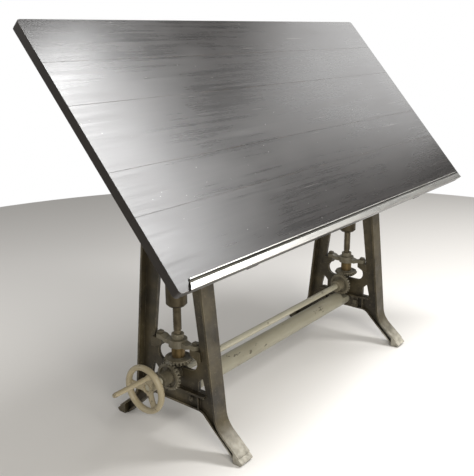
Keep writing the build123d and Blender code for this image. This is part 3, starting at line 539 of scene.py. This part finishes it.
for k, x in enumerate(stations):
    ring = []
    for u, n in section:
        share = (u - strip_low) / width
        px = x
        if k == 0:
            px = strip_left + MITRE * share
        if x > turn_x:
            # The right end turns round to the board: points nearer the board stop sooner.
            px = turn_x + (x - turn_x) * (1 - 0.55 * share * share)
        ring.append(bm.verts.new(board_point(px, u, n)))
    rings.append(ring)
for r0, r1 in zip(rings, rings[1:]):
    for k in range(len(section)):
        j = (k + 1) % len(section)
        bm.faces.new((r0[k], r0[j], r1[j], r1[k]))
bm.faces.new(rings[0][::-1])
bm.faces.new(rings[-1])
piece("edge_strip_metal", bm, "edge_strip", smooth=25)

# ------------------------------------------------------------------ lift screws
PITCH = 6 * MM
THREAD_DEPTH = 2.2 * MM
THREAD_STEPS = 40
RUN_OUT = THREAD_STEPS / 2
PLAIN_ABOVE_COLLAR = 6 * MM
PLAIN_AT_TOP = 4 * MM
UNDERCUT = 0.05 * MM
for side in SIDES:
    node = "lift_screw_" + side
    lo, hi = (Vector(v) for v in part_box(node))
    mid = (lo + hi) / 2
    outer = (hi.x - lo.x) / 2
    root = outer - THREAD_DEPTH
    plain_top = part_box("thrust_collar_" + side)[1][2] + PLAIN_ABOVE_COLLAR
    bm = bmesh.new()
    # One turn of the thread's section: root, flank, crest, flank.
    section = [(0.0, root), (0.34, root), (0.46, outer), (0.86, outer), (0.98, root)]
    turns = int((hi.z - plain_top - PLAIN_AT_TOP) / PITCH)
    last_step = turns * THREAD_STEPS
    loops = []
    for i in range(last_step + 1):
        t = 2 * math.pi * i / THREAD_STEPS
        rise = plain_top + PITCH * i / THREAD_STEPS
        # The thread runs out over half a turn at each end.
        fade = min(1.0, i / RUN_OUT, (last_step - i) / RUN_OUT)
        loops.append([
            bm.verts.new((mid.x + (root + (r - root) * fade) * math.cos(t),
                          mid.y + (root + (r - root) * fade) * math.sin(t),
                          rise + PITCH * share))
            for share, r in section
        ])
    for l0, l1 in zip(loops, loops[1:]):
        for k in range(len(section) - 1):
            bm.faces.new((l0[k], l1[k], l1[k + 1], l0[k + 1]))
    # The root between one turn's last flank and the next turn's first.
    for l0, l1, above0, above1 in zip(loops, loops[1:], loops[THREAD_STEPS:], loops[THREAD_STEPS + 1:]):
        bm.faces.new((l0[-1], l1[-1], above1[0], above0[0]))
    base = Vector((mid.x, mid.y, 0))
    lathe(bm, [(lo.z, 0), (lo.z, outer - MM), (lo.z + MM, outer), (plain_top - 3 * MM, outer),
               (plain_top, root), (plain_top + PITCH, root - UNDERCUT),
               (plain_top + PITCH, 0)], base, (0, 0, 1), THREAD_STEPS)
    end = plain_top + turns * PITCH
    lathe(bm, [(end, 0), (end, root - UNDERCUT), (hi.z - 2 * MM, root - UNDERCUT),
               (hi.z, root - 2 * MM), (hi.z, 0)], base, (0, 0, 1), THREAD_STEPS)
    piece(node + "_thread", bm, node, smooth=28)

# ------------------------------------------------------------------ handwheel and crank
shaft = Vector(JOINTS["shaft_spin"]["pos_m"])
pin = centre("grip_pin")
grip_lo, grip_hi = (Vector(v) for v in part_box("crank_grip"))
wheel_lo, wheel_hi = (Vector(v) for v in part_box("handwheel"))
shaft_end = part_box("drive_shaft")[0][0]
RIM_HALF_H = 10 * MM
RIM_HALF_W = 12 * MM
RIM_FLATTER = 0.86
RIM_STEPS = 96
RIM_OVAL_STEPS = 20
SPOKES = 3
SPOKE_STEPS = 16
HUB_R = 20 * MM
AXLE_R = 12 * MM
BOSS_R = 10 * MM
BOSS_HALF_L = 13 * MM
PIN_R = 4.5 * MM
plane = wheel_lo.x + BOSS_HALF_L
rim_r = (wheel_hi.z - wheel_lo.z) / 2 - RIM_HALF_H
hub = Vector((0, shaft.y, shaft.z))
crank = Vector((0, pin.y - shaft.y, pin.z - shaft.z))
bm = bmesh.new()
# Rim: an oval ring, a little flatter on its inner face.
rings = []
for i in range(RIM_STEPS):
    t = 2 * math.pi * i / RIM_STEPS
    radial = Vector((0, math.cos(t), math.sin(t)))
    ring = []
    for k in range(RIM_OVAL_STEPS):
        s = 2 * math.pi * k / RIM_OVAL_STEPS
        out = math.cos(s) * RIM_HALF_H * (1.0 if math.cos(s) > 0 else RIM_FLATTER)
        across = ALONG * (plane + RIM_HALF_W * math.sin(s))
        ring.append(bm.verts.new(hub + radial * (rim_r + out) + across))
    rings.append(ring)
for i in range(RIM_STEPS):
    r0, r1 = rings[i], rings[(i + 1) % RIM_STEPS]
    for k in range(RIM_OVAL_STEPS):
        j = (k + 1) % RIM_OVAL_STEPS
        bm.faces.new((r0[k], r0[j], r1[j], r1[k]))
# Broad spokes, flared at the rim and at the hub, and dished towards the frame.
for i in range(SPOKES):
    radial = Matrix.Rotation(2 * math.pi * i / SPOKES, 3, "X") @ crank.normalized()
    points = []
    sizes = []
    for k in range(SPOKE_STEPS + 1):
        s = k / SPOKE_STEPS
        r = 14 * MM + (rim_r - 17 * MM) * s
        dish = 4 * MM + 9 * MM * (1 - s) ** 1.4
        points.append(hub + radial * r + ALONG * (plane + dish))
        sizes.append(((12.5 + 6.5 * abs(2 * s - 1) ** 2.4) * MM, (4.0 + 1.6 * (1 - s)) * MM))
    sweep(bm, points, sizes, ALONG, steps=24, power=3.0)
# Hub: its outer face is hollow round the end of the shaft.
hub_out = plane + 5 * MM
hub_in = wheel_hi.x
hollow = shaft_end + 3 * MM
lathe(bm, [(hollow, AXLE_R), (hub_out + 1.5 * MM, AXLE_R + 1.2 * MM),
           (hub_out, HUB_R - 3.4 * MM), (hub_out + 0.7 * MM, HUB_R - 1.0 * MM),
           (hub_out + 3 * MM, HUB_R), (hub_in - 3 * MM, HUB_R), (hub_in - 0.8 * MM, HUB_R - 0.9 * MM),
           (hub_in, HUB_R - 3 * MM), (hub_in, AXLE_R), (hollow, AXLE_R)], hub, ALONG, 56)
# Boss for the grip's pin, at the root of the rim.
boss = Vector((0, pin.y, pin.z))
boss_out = plane - BOSS_HALF_L
boss_in = plane + BOSS_HALF_L
lathe(bm, [(boss_out, PIN_R), (boss_out, BOSS_R - 1.4 * MM), (boss_out + 1.5 * MM, BOSS_R),
           (boss_in - 2 * MM, BOSS_R), (boss_in, BOSS_R - 1.6 * MM), (boss_in, PIN_R),
           (boss_out, PIN_R)], boss, ALONG, 40)
piece("handwheel_casting", bm, "handwheel", smooth=50)

# Plain metal grip: a bead where it meets the wheel, a long barrel and a flat end.
bm = bmesh.new()
length = grip_hi.x - grip_lo.x
hole = 4.56 * MM
# Distance from the wheel and radius, in millimetres.
profile = [(0.0, 7.6), (0.8, 8.7), (2.6, 9.0), (4.6, 8.6), (5.6, 7.6), (6.6, 7.5), (8.0, 7.9),
           (20.0, 8.0), (60.0, 8.15), (100.0, 8.1), (132.0, 7.9), (136.5, 7.6)]
profile = [(d * MM, r * MM) for d, r in profile]
profile = [(0.0, hole)] + profile + [(length, 6.9 * MM), (length, hole), (0.0, hole)]
lathe(bm, profile, (grip_hi.x, pin.y, pin.z), -ALONG, 48)
piece("crank_grip_turned", bm, "crank_grip", smooth=40)

# ------------------------------------------------------------------ small knob under the edge
bm = bmesh.new()
knob = centre("under_knob")
foot = knob + OUT * (under - (knob - PIVOT).dot(OUT))
lathe(bm, [(0, 0), (0, 7 * MM), (2 * MM, 6.4 * MM), (4 * MM, 7.4 * MM), (5.5 * MM, 11.4 * MM),
           (8 * MM, 12.4 * MM), (10.4 * MM, 11 * MM), (11.6 * MM, 7.5 * MM), (12 * MM, 0)],
      foot, -OUT, 40)
piece("under_knob_turned", bm, "under_knob", smooth=60)


# ------------------------------------------------------------------ bolt heads and nuts
SHARP = 32.0


def softened(node, width):
    """The CAD shape with its sharp arrises broken, as a casting or forging has them."""
    bm = bmesh.new()
    bm.from_mesh(NODES[node].data)
    bmesh.ops.remove_doubles(bm, verts=bm.verts, dist=2e-6)
    bmesh.ops.dissolve_limit(bm, angle_limit=math.radians(1.0), verts=bm.verts, edges=bm.edges)
    shared = [e for e in bm.edges if len(e.link_faces) == 2]
    sharp = [e for e in shared if e.calc_face_angle() > math.radians(SHARP)]
    bmesh.ops.bevel(bm, geom=sharp, offset=width, segments=2, profile=0.5,
                    affect="EDGES", clamp_overlap=True)
    return piece(node + "_soft", bm, node, smooth=38)


for node, width in (("bearing_bolts", 1.6), ("shoe_bolts", 1.4), ("head_screws", 1.2)):
    softened(node, width * MM)

# ------------------------------------------------------------------ stage
FLOOR_R = 3.6
bm = bmesh.new()
bmesh.ops.create_circle(bm, cap_ends=True, segments=128, radius=FLOOR_R)
disc = bpy.data.meshes.new("floor")
bm.to_mesh(disc)
bm.free()
floor = bpy.data.objects.new("floor", disc)
bpy.context.scene.collection.objects.link(floor)
floor.location.z = CAD_BOX[0][2]
f = Finish("floor")
floor.data.materials.append(f.done((0.82, 0.80, 0.77), 0.75))

# A dim surround lights the object, in front of a bright paper-white backdrop.
world = bpy.data.worlds.new("studio")
bpy.context.scene.world = world
world.use_nodes = True
sky = world.node_tree.nodes
sky["Background"].inputs["Color"].default_value = (1.0, 0.985, 0.96, 1)
sky["Background"].inputs["Strength"].default_value = 0.27
seen = sky.new("ShaderNodeBackground")
seen.inputs["Color"].default_value = (1, 1, 1, 1)
either = sky.new("ShaderNodeMixShader")
rays = sky.new("ShaderNodeLightPath")
join = world.node_tree.links.new
join(rays.outputs["Is Camera Ray"], either.inputs[0])
join(sky["Background"].outputs[0], either.inputs[1])
join(seen.outputs[0], either.inputs[2])
join(either.outputs[0], sky["World Output"].inputs["Surface"])


def softbox(name, at, towards, size, power, color=(1, 1, 1)):
    """A soft panel: size is its width and its height."""
    data = bpy.data.lights.new(name, "AREA")
    data.shape = "RECTANGLE"
    data.energy = power
    data.color = color
    data.size, data.size_y = size
    lamp = bpy.data.objects.new(name, data)
    bpy.context.scene.collection.objects.link(lamp)
    lamp.location = at
    lamp.rotation_mode = "QUATERNION"
    lamp.rotation_quaternion = (Vector(towards) - Vector(at)).to_track_quat("-Z", "Y")


# The long side of the ceiling panel lies where the board's left edge mirrors it.
softbox("ceiling", (1.25, -1.4, 3.3), (0.02, -2.27, 1.3), (2.9, 0.75), 180)
softbox("right", (3.3, -0.05, 2.55), (0.4, 0.0, 1.0), (1.6, 1.6), 25)
softbox("window", (-2.2, -3.6, 2.6), (0.0, 0.0, 0.3), (2.4, 2.4), 120, (1.0, 0.97, 0.91))
softbox("back", (-2.5, 2.6, 2.2), (-0.2, 0.0, 0.5), (1.6, 1.6), 20)

# ------------------------------------------------------------------ camera
# Angles in radians, metres from the floor under the middle of the tilt axis, film and lens in mm.
yaw, pitch, roll = 0.67630, -0.28812, -0.009238
AWAY_X, AWAY_Y, EYE_Z = -2.0954, -1.4920, 1.3411
FILM, LENS = 36.0, 52.59
forward = Vector((math.cos(pitch) * math.cos(yaw), math.cos(pitch) * math.sin(yaw), math.sin(pitch)))
level_right = Vector((math.sin(yaw), -math.cos(yaw), 0))
level_up = level_right.cross(forward)
right = level_right * math.cos(roll) + level_up * math.sin(roll)
up = level_up * math.cos(roll) - level_right * math.sin(roll)
data = bpy.data.cameras.new("camera")
data.sensor_width = FILM
data.lens = LENS
camera = bpy.data.objects.new("camera", data)
bpy.context.scene.collection.objects.link(camera)
turn = Matrix((right, up, -forward)).transposed()
camera.matrix_world = Matrix.Translation((AWAY_X, PIVOT.y + AWAY_Y, EYE_Z)) @ turn.to_4x4()
bpy.context.scene.camera = camera
bpy.context.scene.view_settings.view_transform = "Standard"
